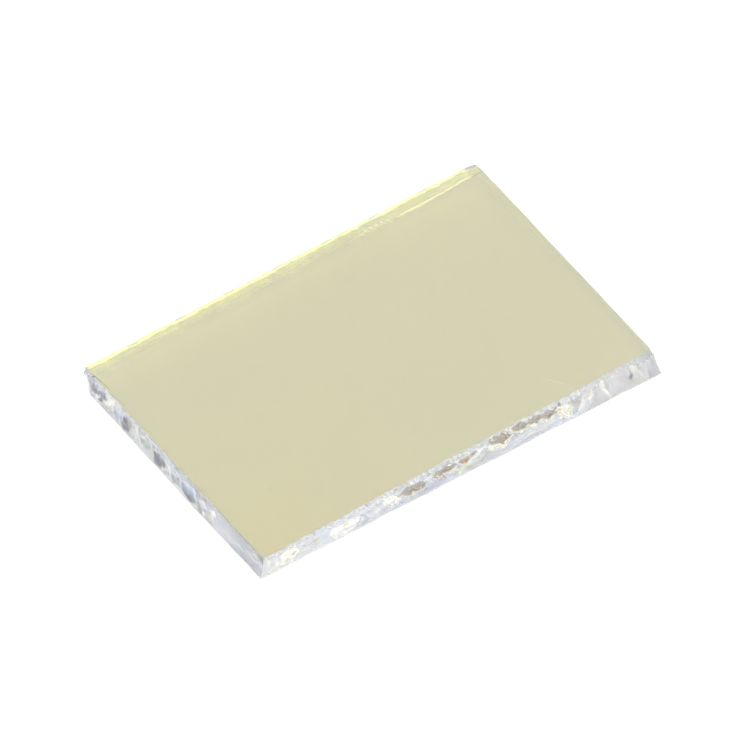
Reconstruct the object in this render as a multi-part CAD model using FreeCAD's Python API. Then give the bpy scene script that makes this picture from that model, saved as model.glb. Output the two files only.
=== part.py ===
import FreeCAD, Part
import math
import os

# Plate beamsplitter: one rectangle of float glass, scribed, snapped to size and left unpolished at its rim.
# The upper face carries the part-reflecting film, which is far thinner than any solid could show.
# Lengths are millimetres. X runs along the plate, Y across it and Z up, from the centre of the lower face.

plate_length = 46.0      # along X, between the two scribe lines that end it
plate_width = 30.0       # along Y, between the other two scribe lines
plate_thickness = 3.0    # gauge of the float glass
scribe_band_height = 0.75    # how far below the upper face the scribe wheel crushed the rim
scribe_band_depth = 0.10     # how far the crushed band stands back at the upper face
overcut = 4.0            # how far every cutter runs past the glass it removes
rows_up_the_break = 5    # rows of points that carry each break surface
points_along_the_break = 21

Vector = FreeCAD.Vector
up = Vector(0, 0, 1)


class Side:
    """One snapped side. It starts at a corner and runs anticlockwise, seen from above."""

    def __init__(self, name, start, along, length, stand, wave, belly, scribed):
        self.name = name
        self.start = start        # nominal corner where the side starts, on the lower face
        self.along = along        # unit vector along the side
        self.outward = along.cross(up)
        self.length = length
        self.stand = stand        # outward lean at (top start, top end, bottom start, bottom end)
        self.wave = wave          # (height of the waviness, its length, its phase)
        self.belly = belly        # how far the middle of the thickness bulges outwards
        self.scribed = scribed    # whether the wheel crushed its upper edge

    def offset(self, run, height):
        """How far the break stands outside the nominal side, at a run along it and a height."""
        along_share = run / self.length
        height_share = height / plate_thickness
        top_start, top_end, bottom_start, bottom_end = self.stand
        top = top_start + (top_end - top_start) * along_share
        bottom = bottom_start + (bottom_end - bottom_start) * along_share
        tall, long, phase = self.wave
        turn = 2 * math.pi * run / long + phase
        ripple = tall * (math.sin(turn + height_share) + 0.5 * math.sin(2.3 * turn - height_share))
        bulge = self.belly * 4 * height_share * (1 - height_share)
        return bottom + (top - bottom) * height_share + ripple + bulge

    def upper_edge(self, run):
        """How far the edge of the upper face stands outside the nominal side."""
        edge = self.offset(run, plate_thickness)
        if self.scribed:
            edge -= scribe_band_depth
        return edge

    def point(self, run, height, out=0.0):
        """The place at a run along the side, a height, and a distance outside the nominal side."""
        return self.start + self.along * run + self.outward * out + up * height


half_length = plate_length / 2
half_width = plate_width / 2

# The leans are read off the outline: the snap ran out of square by up to half a millimetre.
front = Side("front", Vector(-half_length, -half_width, 0), Vector(1, 0, 0), plate_length,
             stand=(0.30, -0.30, -0.08, 0.48), wave=(0.030, 9.0, 0.4), belly=-0.04, scribed=True)
right = Side("right", Vector(half_length, -half_width, 0), Vector(0, 1, 0), plate_width,
             stand=(0.00, 0.22, 0.58, 0.08), wave=(0.010, 12.0, 1.1), belly=-0.05, scribed=False)
back = Side("back", Vector(half_length, half_width, 0), Vector(-1, 0, 0), plate_length,
            stand=(0.24, -0.04, -0.14, -0.08), wave=(0.018, 8.0, 2.0), belly=0.03, scribed=True)
left = Side("left", Vector(-half_length, half_width, 0), Vector(0, -1, 0), plate_width,
            stand=(-0.13, -0.12, 0.00, 0.17), wave=(0.025, 8.5, 0.9), belly=0.04, scribed=False)

# Conchoidal shells struck out of each break, as
# (share along the side, share up the thickness, half length, half height, depth, tilt in degrees).
# A tilt above zero drops the far end of the shell.
shells = {
    "front": [
        (0.067, 0.42, 0.95, 1.20, 0.13, -8),
        (0.120, 0.60, 1.40, 0.70, 0.10, -8),
        (0.211, 0.34, 1.80, 0.92, 0.14, -4),
        (0.282, 0.66, 1.60, 0.60, 0.11, -8),
        (0.334, 0.40, 0.60, 1.05, 0.13, -36),
        (0.386, 0.52, 1.75, 0.72, 0.20, 4),
        (0.462, 0.60, 1.60, 0.55, 0.17, -4),
        (0.525, 0.60, 1.30, 0.42, 0.13, -8),
        (0.605, 0.68, 1.45, 0.98, 0.26, 0),
        (0.657, 0.76, 1.10, 0.55, 0.17, 8),
        (0.694, 0.71, 1.10, 0.55, 0.18, 5),
        (0.735, 0.66, 1.15, 0.58, 0.18, 5),
        (0.771, 0.44, 0.62, 1.00, 0.16, -36),
        (0.842, 0.52, 0.90, 1.00, 0.10, 14),
        (0.905, 0.50, 1.30, 1.15, 0.09, -10),
    ],
    "left": [
        (0.065, 0.53, 0.60, 0.90, 0.12, 25),
        (0.103, 0.50, 0.60, 1.15, 0.16, 28),
        (0.150, 0.50, 0.60, 1.20, 0.12, 28),
        (0.197, 0.45, 0.60, 1.10, 0.14, 30),
        (0.247, 0.45, 0.75, 1.30, 0.21, 25),
        (0.300, 0.45, 0.60, 1.25, 0.13, -8),
        (0.360, 0.62, 1.45, 0.62, 0.17, -33),
        (0.430, 0.42, 0.90, 1.15, 0.22, 30),
        (0.475, 0.38, 0.60, 0.95, 0.12, 20),
        (0.528, 0.45, 0.80, 0.90, 0.13, 20),
        (0.597, 0.48, 1.35, 1.00, 0.21, -10),
        (0.667, 0.35, 0.70, 1.00, 0.13, 25),
        (0.720, 0.40, 0.55, 1.10, 0.12, 28),
        (0.930, 0.16, 5.20, 1.25, 0.13, -9),
    ],
    "back": [
        (0.060, 0.30, 2.6, 0.80, 0.12, 6),
        (0.090, 0.84, 7.0, 0.44, 0.22, 0),
        (0.250, 0.36, 2.8, 0.75, 0.13, -6),
        (0.290, 0.85, 6.6, 0.43, 0.24, 1),
        (0.480, 0.34, 2.8, 0.80, 0.15, 8),
        (0.500, 0.84, 6.8, 0.45, 0.22, -1),
        (0.700, 0.83, 6.6, 0.47, 0.24, 1),
        (0.780, 0.34, 2.6, 0.80, 0.15, -8),
        (0.910, 0.84, 7.0, 0.44, 0.22, 0),
    ],
    "right": [
        (0.140, 0.36, 2.6, 0.85, 0.08, 10),
        (0.620, 0.55, 3.0, 0.80, 0.06, -8),
    ],
}

# Nicks in the coated edge, where the scribe wheel let go, as (share along the side, half length, depth).
nicks = {
    "front": [
        (0.032, 0.55, 0.12), (0.092, 0.40, 0.10), (0.162, 0.50, 0.11), (0.243, 0.45, 0.09),
        (0.305, 0.60, 0.12), (0.366, 0.42, 0.10), (0.428, 0.55, 0.12), (0.483, 0.40, 0.09),
        (0.577, 0.50, 0.11), (0.638, 0.60, 0.12), (0.694, 0.42, 0.10), (0.751, 0.55, 0.12),
        (0.803, 0.45, 0.10), (0.903, 0.60, 0.12),
    ],
    "left": [(0.082, 0.40, 0.08), (0.290, 0.45, 0.09), (0.625, 0.40, 0.08)],
    "right": [(0.330, 0.40, 0.06)],
    "back": [(0.255, 0.45, 0.10), (0.870, 0.50, 0.11)],
}

# Corners knocked off, as (share up the thickness, half height, depth), by the side that starts there.
corner_chips = {
    "left": (0.12, 1.15, 0.45),
    "front": (0.95, 0.45, 0.14),
    "right": (0.97, 0.45, 0.14),
    "back": (0.90, 0.60, 0.22),
}


def break_cutter(side, stand_back=None):
    """Everything outside one side's break surface, as a solid to take away.

    stand_back gives how much further in the surface lies at a height, and is left out for the plain break.
    """
    grid = []
    for i in range(points_along_the_break):
        run = -overcut + (side.length + 2 * overcut) * i / (points_along_the_break - 1)
        column = []
        for j in range(rows_up_the_break):
            height = -overcut + (plate_thickness + 2 * overcut) * j / (rows_up_the_break - 1)
            held = min(max(height, 0.0), plate_thickness)
            out = side.offset(run, held)
            if stand_back:
                out -= stand_back(height)
            column.append(side.point(run, height, out))
        grid.append(column)
    surface = Part.BSplineSurface()
    surface.interpolate(grid)
    return surface.toShape().extrude(side.outward * 2 * overcut)


def scribe_stand_back(height):
    """The crushed band under a scribe line: nothing at its foot, its full depth at the upper face."""
    above_foot = height - (plate_thickness - scribe_band_height)
    return scribe_band_depth * above_foot / scribe_band_height


def shell_ring(half_long, half_high, depth):
    """A ring whose outer rim bites a shell of that half length along X, half height along Z and depth.

    A chord of half length a at depth d belongs to a circle of radius a*a/2d. The longer half sets the
    rim of the ring, the shorter one its round section. Its deepest point lies at the origin.
    """
    rim_radius = max(half_long, half_high) ** 2 / (2 * depth)
    section_radius = min(half_long, half_high) ** 2 / (2 * depth)
    axis = up
    if half_high > half_long:
        axis = Vector(1, 0, 0)
    return Part.makeTorus(rim_radius - section_radius, section_radius, Vector(0, rim_radius, 0), axis)


def placed(cutter, side, run, height, depth, tilt):
    """The cutter turned to face a side, its deepest point that far inside the local break."""
    frame = FreeCAD.Matrix(
        side.along.x, side.outward.x, 0, 0,
        side.along.y, side.outward.y, 0, 0,
        0, 0, 1, 0,
        0, 0, 0, 1)
    turned = cutter.copy()
    turned.rotate(Vector(0, 0, 0), Vector(0, 1, 0), tilt)
    turned.transformShape(frame)
    turned.translate(side.point(run, height, side.offset(run, height) - depth))
    return turned


def shell_cutter(side, shell):
    """The ring for one row of the table of shells."""
    along_share, height_share, half_long, half_high, depth, tilt = shell
    run = side.length * along_share
    height = plate_thickness * height_share
    return placed(shell_ring(half_long, half_high, depth), side, run, height, depth, tilt)


def nick_cutter(side, nick):
    """A ball centred above the coated edge, so that it takes more off the edge than off the break."""
    along_share, half_long, depth = nick
    run = side.length * along_share
    radius = half_long ** 2 / (2 * depth) + depth / 2
    away = (side.outward * 2 + up).normalize()
    edge = side.point(run, plate_thickness, side.upper_edge(run))
    return Part.makeSphere(radius, edge + away * (radius - depth))


def corner_cutter(previous, side, chip):
    """A ball that knocks off the corner between a side and the one before it, by a depth on the diagonal."""
    height_share, half_high, depth = chip
    height = plate_thickness * height_share
    corner = side.point(0, height, side.offset(0, height))
    corner += previous.outward * previous.offset(previous.length, height)
    radius = half_high ** 2 / (2 * depth) + depth
    diagonal = (previous.outward + side.outward).normalize()
    return Part.makeSphere(radius, corner + diagonal * (radius - depth))


def beamsplitter_plate():
    """The glass, snapped on four sides, crushed along its front scribe line and shelled all round."""
    blank = Part.makeBox(
        plate_length + overcut, plate_width + overcut, plate_thickness,
        Vector(-half_length - overcut / 2, -half_width - overcut / 2, 0))
    sides = [front, right, back, left]
    glass = blank
    for side in sides:
        glass = glass.cut(break_cutter(side))
        if side.scribed:
            glass = glass.cut(break_cutter(side, scribe_stand_back))
    for side in sides:
        for shell in shells[side.name]:
            glass = glass.cut(shell_cutter(side, shell))
        for nick in nicks[side.name]:
            glass = glass.cut(nick_cutter(side, nick))
    for previous, side in zip(sides[-1:] + sides[:-1], sides):
        glass = glass.cut(corner_cutter(previous, side, corner_chips[side.name]))
    return glass


os.makedirs("parts", exist_ok=True)
beamsplitter_plate().exportStep("parts/beamsplitter_plate.step")
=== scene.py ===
import math

import bpy
import numpy as np
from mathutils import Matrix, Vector


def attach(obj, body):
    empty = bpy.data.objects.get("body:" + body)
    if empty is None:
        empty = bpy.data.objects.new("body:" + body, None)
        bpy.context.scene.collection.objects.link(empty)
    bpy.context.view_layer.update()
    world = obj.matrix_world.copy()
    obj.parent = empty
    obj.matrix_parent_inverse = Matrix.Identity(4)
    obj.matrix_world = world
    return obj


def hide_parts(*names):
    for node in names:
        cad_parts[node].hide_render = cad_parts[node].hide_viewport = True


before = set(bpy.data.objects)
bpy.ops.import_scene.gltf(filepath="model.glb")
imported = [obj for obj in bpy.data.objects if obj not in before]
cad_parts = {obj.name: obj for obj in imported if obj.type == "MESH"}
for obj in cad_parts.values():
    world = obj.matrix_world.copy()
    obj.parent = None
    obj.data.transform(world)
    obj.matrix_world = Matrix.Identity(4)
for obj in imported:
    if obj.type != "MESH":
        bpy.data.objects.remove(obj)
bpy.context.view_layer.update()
print("frame loaded")

mm = 0.001    # the tables of the plate are in millimetres, the scene in metres


# The plate

plate = {
    "thickness": 3.0,
    "crushHeight": 0.75,       # the scribe wheel crushed the rim this far down
    "crushDepth": 0.10,        # and this far in at the upper face
    "rowsBelow": 27,           # rows of points up the wall, below the crushed band and in it
    "rowsInBand": 17,
    "leastRim": 0.02,          # narrowest that the crumbled rim gets
    "chipReach": 1.0,          # a knocked-off corner reaches this far along each side, and its depth more
    "hackleApart": 7.0,        # how far apart in the noise the hackle of two sides is taken
    "seed": 7,
}

# Each side starts at a corner and runs anticlockwise, seen from above.
# stand is its outward lean at (top start, top end, bottom start, bottom end).
# wave is (height, length, phase) of its waviness, and belly how far its middle bulges.
# tint is painted shade over the whole of the plain break, and none where it is "pane".
sides = [
    {"name": "front", "start": (-23.0, -15.0), "along": (1, 0), "length": 46.0, "columns": 900,
     "stand": (0.30, -0.30, -0.08, 0.48), "wave": (0.030, 9.0, 0.4), "belly": -0.04, "scribed": True,
     "tint": "clear"},
    {"name": "right", "start": (23.0, -15.0), "along": (0, 1), "length": 30.0, "columns": 110,
     "stand": (0.00, 0.22, 0.58, 0.08), "wave": (0.010, 12.0, 1.1), "belly": -0.05, "scribed": False,
     "tint": "pane"},
    {"name": "back", "start": (23.0, 15.0), "along": (-1, 0), "length": 46.0, "columns": 420,
     "stand": (0.24, -0.04, -0.14, -0.08), "wave": (0.018, 8.0, 2.0), "belly": 0.03, "scribed": True,
     "tint": "pane"},
    {"name": "left", "start": (-23.0, 15.0), "along": (0, -1), "length": 30.0, "columns": 520,
     "stand": (-0.13, -0.12, 0.00, 0.17), "wave": (0.025, 8.5, 0.9), "belly": 0.04, "scribed": False,
     "tint": "clear"},
]

# Tints painted on the broken glass, as the share of the light that the eye sees through it: apart from
# "pane", they are painted shade and painted highlights that stand in for what the break refracts.
paintedTints = {
    "pane": (1.00, 1.00, 1.00),
    "clear": (0.74, 0.77, 0.84),
    "grey": (0.58, 0.60, 0.67),
    "slate": (0.34, 0.34, 0.42),
    "smoke": (0.45, 0.41, 0.39),
    "pale": (0.86, 0.87, 0.95),
    "lilac": (0.76, 0.76, 0.86),
    "white": (1.00, 1.00, 1.00),
    "mist": (0.66, 0.68, 0.80),
    "lemon": (1.00, 0.98, 0.72),
    "amber": (0.66, 0.38, 0.16),
    "blush": (0.80, 0.68, 0.66),
    "lime": (0.86, 0.96, 0.58),
    "sky": (0.62, 0.71, 0.90),
    "azure": (0.46, 0.55, 0.82),
}

# Conchoidal shells, as (share along the side, share up the thickness, half length, half height, depth, tilt,
# tint, tint of the lower lip). A tilt above zero, in degrees, drops the far end of the shell.
# The tints are painted shade (the dark ones) and painted highlights (the white and pale ones, and most lips).
shells = {
    "front": [
        (0.067, 0.42, 0.95, 1.20, 0.13, -8, "white", "white"),
        (0.120, 0.60, 1.40, 0.70, 0.10, -8, "clear", "pale"),
        (0.211, 0.34, 1.80, 0.92, 0.14, -4, "white", "white"),
        (0.282, 0.66, 1.60, 0.60, 0.11, -8, "clear", "pale"),
        (0.334, 0.40, 0.60, 1.05, 0.13, -36, "white", "white"),
        (0.386, 0.52, 1.75, 0.72, 0.20, 4, "smoke", "pale"),
        (0.462, 0.60, 1.60, 0.55, 0.17, -4, "smoke", "pale"),
        (0.525, 0.60, 1.30, 0.42, 0.13, -8, "smoke", "white"),
        (0.605, 0.68, 1.45, 0.98, 0.26, 0, "smoke", "white"),
        (0.657, 0.76, 1.10, 0.55, 0.17, 8, "smoke", "white"),
        (0.694, 0.71, 1.10, 0.55, 0.18, 5, "smoke", "white"),
        (0.735, 0.66, 1.15, 0.58, 0.18, 5, "smoke", "white"),
        (0.771, 0.44, 0.62, 1.00, 0.16, -36, "white", "white"),
        (0.842, 0.50, 1.10, 1.30, 0.04, 14, "lilac", "lilac"),
        (0.915, 0.50, 1.70, 1.50, 0.03, -10, "lilac", "pale"),
    ],
    "left": [
        (0.065, 0.53, 0.60, 0.90, 0.12, 25, "slate", "pale"),
        (0.103, 0.50, 0.60, 1.15, 0.16, 28, "slate", "white"),
        (0.150, 0.50, 0.60, 1.20, 0.12, 28, "white", "white"),
        (0.197, 0.45, 0.60, 1.10, 0.14, 30, "sky", "pale"),
        (0.247, 0.45, 0.75, 1.30, 0.21, 25, "slate", "pale"),
        (0.300, 0.45, 0.60, 1.25, 0.13, -8, "pale", "white"),
        (0.360, 0.62, 1.45, 0.62, 0.17, -33, "clear", "white"),
        (0.430, 0.42, 0.90, 1.15, 0.22, 30, "slate", "white"),
        (0.475, 0.38, 0.60, 0.95, 0.12, 20, "pale", "white"),
        (0.528, 0.45, 0.80, 0.90, 0.13, 20, "clear", "pale"),
        (0.597, 0.48, 1.35, 1.00, 0.21, -10, "sky", "slate"),
        (0.667, 0.35, 0.70, 1.00, 0.13, 25, "pale", "white"),
        (0.720, 0.40, 0.55, 1.10, 0.12, 28, "white", "lemon"),
        (0.930, 0.16, 5.20, 1.25, 0.13, -9, "clear", "clear"),
    ],
    "back": [
        (0.060, 0.30, 2.6, 0.80, 0.12, 6, "pane", "pane"),
        (0.090, 0.84, 7.0, 0.44, 0.22, 0, "pane", "pane"),
        (0.250, 0.36, 2.8, 0.75, 0.13, -6, "pane", "pane"),
        (0.290, 0.85, 6.6, 0.43, 0.24, 1, "pane", "pane"),
        (0.480, 0.34, 2.8, 0.80, 0.15, 8, "pane", "pane"),
        (0.500, 0.84, 6.8, 0.45, 0.22, -1, "pane", "pane"),
        (0.700, 0.83, 6.6, 0.47, 0.24, 1, "pane", "pane"),
        (0.780, 0.34, 2.6, 0.80, 0.15, -8, "pane", "pane"),
        (0.910, 0.84, 7.0, 0.44, 0.22, 0, "pane", "pane"),
    ],
    "right": [
        (0.140, 0.36, 2.6, 0.85, 0.08, 10, "pane", "pane"),
        (0.620, 0.55, 3.0, 0.80, 0.06, -8, "pane", "pane"),
    ],
}

# Glints: painted highlights, painted shade and painted colours of split light, where a facet too small to cut
# splits the light. As the shells, with one tint and a softness.
paintedGlints = {
    "front": [
        (0.640, 0.12, 7.00, 0.55, 0.000, -1, "mist", 0.6),
        (0.782, 0.90, 1.10, 0.32, 0.000, 0, "pale", 0.6),
        (0.018, 0.55, 0.14, 1.10, 0.010, -20, "white", 0.5),
        (0.036, 0.45, 0.16, 1.00, 0.010, -22, "white", 0.5),
        (0.071, 0.40, 1.00, 1.10, 0.000, 0, "white", 0.2),
        (0.064, 0.62, 0.14, 0.70, 0.006, -24, "lemon", 0.7),
        (0.091, 0.34, 0.08, 0.80, 0.006, 8, "grey", 0.6),
        (0.134, 0.52, 0.10, 0.70, 0.006, -24, "blush", 0.8),
        (0.163, 0.38, 0.24, 0.80, 0.008, -30, "sky", 0.7),
        (0.176, 0.24, 0.12, 0.60, 0.006, -30, "slate", 0.8),
        (0.205, 0.34, 1.60, 1.00, 0.000, 0, "white", 0.2),
        (0.182, 0.58, 0.60, 0.32, 0.006, 20, "white", 0.6),
        (0.237, 0.34, 0.30, 1.00, 0.006, 14, "white", 0.6),
        (0.214, 0.46, 0.72, 0.36, 0.008, 0, "lemon", 0.9),
        (0.215, 0.46, 0.40, 0.17, 0.008, 10, "amber", 0.7),
        (0.247, 0.36, 0.07, 0.90, 0.006, 12, "azure", 0.9),
        (0.262, 0.30, 0.40, 0.70, 0.006, 0, "grey", 0.9),
        (0.296, 0.28, 0.30, 0.75, 0.008, -16, "pale", 0.7),
        (0.312, 0.24, 0.14, 0.60, 0.006, -20, "blush", 0.7),
        (0.331, 0.42, 0.48, 1.30, 0.012, -46, "white", 0.2),
        (0.322, 0.62, 0.30, 0.40, 0.006, -40, "lemon", 0.8),
        (0.346, 0.56, 0.40, 0.15, 0.010, 40, "amber", 0.6),
        (0.354, 0.16, 0.20, 0.36, 0.006, -30, "sky", 0.8),
        (0.370, 0.20, 0.12, 0.34, 0.008, 0, "lemon", 0.5),
        (0.379, 0.22, 0.06, 0.36, 0.006, 0, "amber", 0.8),
        (0.388, 0.26, 0.14, 0.36, 0.008, 0, "lemon", 0.5),
        (0.402, 0.30, 0.07, 0.50, 0.006, 0, "blush", 0.8),
        (0.412, 0.26, 0.06, 0.50, 0.006, 0, "grey", 0.8),
        (0.446, 0.44, 0.30, 0.55, 0.006, -25, "blush", 0.8),
        (0.459, 0.34, 0.14, 0.60, 0.006, -28, "amber", 1.0),
        (0.487, 0.38, 0.55, 0.26, 0.012, 30, "white", 0.4),
        (0.479, 0.52, 0.40, 0.10, 0.006, 30, "amber", 0.7),
        (0.476, 0.66, 0.26, 0.14, 0.006, 10, "white", 0.6),
        (0.519, 0.52, 0.34, 0.18, 0.008, 0, "amber", 0.7),
        (0.530, 0.55, 0.20, 0.09, 0.006, 0, "lemon", 0.8),
        (0.541, 0.52, 1.80, 0.17, 0.010, -29, "white", 0.2),
        (0.506, 0.24, 0.14, 0.42, 0.006, 16, "lime", 0.6),
        (0.528, 0.30, 0.50, 0.24, 0.006, -20, "white", 0.6),
        (0.548, 0.42, 0.16, 0.10, 0.006, 0, "slate", 0.8),
        (0.594, 0.47, 1.05, 0.22, 0.010, 27, "white", 0.2),
        (0.621, 0.43, 0.66, 0.20, 0.010, -31, "white", 0.2),
        (0.621, 0.58, 0.12, 0.24, 0.006, 0, "amber", 0.8),
        (0.638, 0.76, 0.14, 0.42, 0.010, 10, "white", 0.5),
        (0.646, 0.62, 0.07, 0.44, 0.006, 30, "white", 0.7),
        (0.664, 0.55, 0.38, 0.19, 0.008, 14, "white", 0.2),
        (0.676, 0.50, 0.12, 0.16, 0.008, 0, "lemon", 0.5),
        (0.692, 0.53, 0.38, 0.20, 0.008, 8, "white", 0.2),
        (0.713, 0.49, 0.30, 0.19, 0.008, 8, "white", 0.2),
        (0.727, 0.45, 0.10, 0.20, 0.008, 0, "white", 0.5),
        (0.740, 0.43, 0.12, 0.22, 0.008, 0, "lemon", 0.5),
        (0.770, 0.42, 0.74, 1.10, 0.000, -40, "white", 0.2),
        (0.762, 0.60, 0.34, 0.20, 0.008, 10, "amber", 0.9),
        (0.775, 0.52, 0.16, 0.52, 0.006, -40, "lemon", 0.6),
        (0.788, 0.44, 0.12, 0.56, 0.006, -34, "lime", 0.7),
        (0.796, 0.54, 0.12, 0.44, 0.006, -34, "amber", 0.8),
        (0.804, 0.20, 0.18, 0.26, 0.006, -20, "azure", 0.7),
        (0.806, 0.50, 0.30, 0.50, 0.006, 10, "grey", 0.8),
        (0.816, 0.43, 0.22, 1.05, 0.004, 32, "white", 0.5),
        (0.826, 0.50, 0.14, 0.90, 0.003, 20, "pale", 0.8),
        (0.838, 0.50, 0.15, 1.10, 0.003, 4, "white", 0.7),
        (0.848, 0.46, 0.10, 1.00, 0.006, 2, "grey", 0.8),
        (0.872, 0.50, 0.24, 1.35, 0.006, -17, "white", 0.3),
        (0.883, 0.42, 0.10, 1.00, 0.006, -14, "grey", 0.7),
        (0.912, 0.74, 1.40, 0.09, 0.006, 0, "white", 0.9),
        (0.975, 0.45, 0.70, 1.10, 0.000, -14, "lilac", 0.5),
        (0.941, 0.46, 0.10, 1.25, 0.004, -12, "slate", 0.5),
        (0.949, 0.72, 0.30, 0.46, 0.004, -20, "white", 0.5),
        (0.960, 0.50, 0.14, 1.00, 0.006, -20, "white", 0.8),
        (0.984, 0.64, 0.07, 0.60, 0.006, -14, "white", 0.6),
        (0.994, 0.60, 0.07, 0.70, 0.008, -14, "slate", 0.6),
    ],
    "left": [
        (0.035, 0.62, 0.30, 0.36, 0.010, 20, "slate", 0.8),
        (0.060, 0.60, 0.08, 0.90, 0.010, 28, "white", 0.7),
        (0.075, 0.55, 0.10, 0.90, 0.010, 28, "slate", 0.7),
        (0.086, 0.40, 0.10, 0.60, 0.010, 28, "white", 0.7),
        (0.104, 0.56, 0.34, 0.90, 0.010, 25, "slate", 0.4),
        (0.116, 0.70, 0.10, 0.50, 0.010, 25, "grey", 0.6),
        (0.147, 0.50, 0.34, 1.15, 0.010, 26, "white", 0.2),
        (0.160, 0.50, 0.05, 0.80, 0.010, 14, "grey", 0.6),
        (0.205, 0.40, 0.12, 0.80, 0.010, 28, "azure", 0.7),
        (0.222, 0.55, 0.06, 0.90, 0.010, 26, "pale", 0.6),
        (0.240, 0.46, 0.62, 1.25, 0.010, 20, "slate", 0.4),
        (0.270, 0.42, 0.22, 0.70, 0.008, 0, "blush", 0.8),
        (0.292, 0.43, 0.20, 1.35, 0.010, -10, "white", 0.2),
        (0.307, 0.30, 0.05, 0.70, 0.008, -8, "slate", 0.6),
        (0.312, 0.74, 0.16, 0.20, 0.008, 30, "slate", 0.5),
        (0.345, 0.70, 0.90, 0.22, 0.010, -26, "white", 0.2),
        (0.335, 0.60, 0.14, 0.50, 0.010, -10, "white", 0.6),
        (0.350, 0.56, 0.60, 0.14, 0.010, -30, "sky", 0.8),
        (0.357, 0.70, 0.30, 0.18, 0.008, -33, "slate", 0.7),
        (0.418, 0.34, 0.74, 0.95, 0.000, 16, "slate", 0.5),
        (0.440, 0.62, 0.42, 0.80, 0.010, 30, "grey", 0.6),
        (0.462, 0.78, 0.08, 0.50, 0.010, 26, "azure", 0.6),
        (0.465, 0.30, 0.20, 0.62, 0.010, 14, "white", 0.5),
        (0.496, 0.78, 0.42, 0.22, 0.010, 0, "white", 0.6),
        (0.528, 0.48, 0.26, 0.42, 0.010, 20, "slate", 0.7),
        (0.530, 0.66, 0.16, 0.18, 0.010, 20, "azure", 0.8),
        (0.523, 0.18, 0.20, 0.50, 0.010, 10, "white", 0.7),
        (0.600, 0.60, 1.20, 0.60, 0.000, -10, "sky", 0.6),
        (0.598, 0.18, 0.90, 0.22, 0.010, -14, "slate", 0.7),
        (0.630, 0.50, 0.14, 0.66, 0.010, 20, "azure", 0.9),
        (0.640, 0.12, 0.46, 0.18, 0.010, -30, "white", 0.5),
        (0.688, 0.45, 0.26, 0.90, 0.010, 26, "azure", 1.2),
        (0.716, 0.36, 0.30, 1.10, 0.010, 26, "white", 0.2),
        (0.722, 0.66, 0.08, 0.50, 0.010, 20, "lime", 0.8),
        (0.820, 0.42, 1.70, 0.32, 0.000, -8, "pale", 1.0),
        (0.890, 0.22, 3.80, 0.90, 0.000, -12, "grey", 0.8),
        (0.965, 0.80, 0.90, 0.35, 0.000, -10, "white", 0.9),
    ],
    "back": [
        (0.250, 0.97, 5.0, 0.10, 0.0, 0, "lemon", 0.5),
        (0.750, 0.95, 9.0, 0.16, 0.0, 0, "lemon", 0.5),
    ],
    "right": [
        (0.930, 0.60, 0.40, 0.50, 0.020, 0, "lemon", 0.5),
    ],
}

# Corners knocked off, as (share up the thickness, half height, depth), by the side that starts there.
cornerChips = {
    "left": (0.00, 2.00, 0.50),
    "front": (0.95, 0.45, 0.14),
    "right": (0.97, 0.45, 0.14),
    "back": (0.90, 0.60, 0.22),
}

# The rim of the upper face crumbled away at 45 degrees, as (width, tint, how much of the tint shows).
# The tint of a rim is a painted highlight along it.
rims = {
    "front": (0.05, "white", 1.0),
    "right": (0.03, "white", 0.6),
    "back": (0.05, "lemon", 0.6),
    "left": (0.03, "white", 1.0),
}

# Frosted bands, as (height at the upper rim, height at the lower rim, share of the side that the lower one
# covers).
frost = {
    "front": (0.62, 0.0, 0.0),
    "right": (0.05, 0.0, 0.0),
    "back": (0.30, 0.16, 0.33),
    "left": (0.30, 0.0, 0.0),
}

# Smoother ends of the break, dulled all over, as (share of the side where they start, share of the frosting).
satin = {
    "front": (0.80, 0.6),
    "left": (0.75, 0.6),
}

# The film on the upper face

coating = {
    "tint": (0.61, 0.530, 0.115),
    "warmTint": (0.61, 0.475, 0.04),
    "warmCorner": (-23.0, -15.0),
    "warmReach": 24.0,         # millimetres
    "filmThickness": 48.0,     # nanometres
    "filmIor": 2.3,
    "marks": {"Cloud Scale": 70.0, "Cloud Depth": 0.08, "Speck Scale": 230.0, "Speck Size": 0.045,
              "Speck Share": 0.9, "Speck Depth": 0.55},
    # hairline scratch, in millimetres and degrees
    "scratch": {"centre": (13.0, -12.6), "angle": -56, "halfLength": 1.9, "halfWidth": 0.045,
                "strength": 0.7},
}
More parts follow.
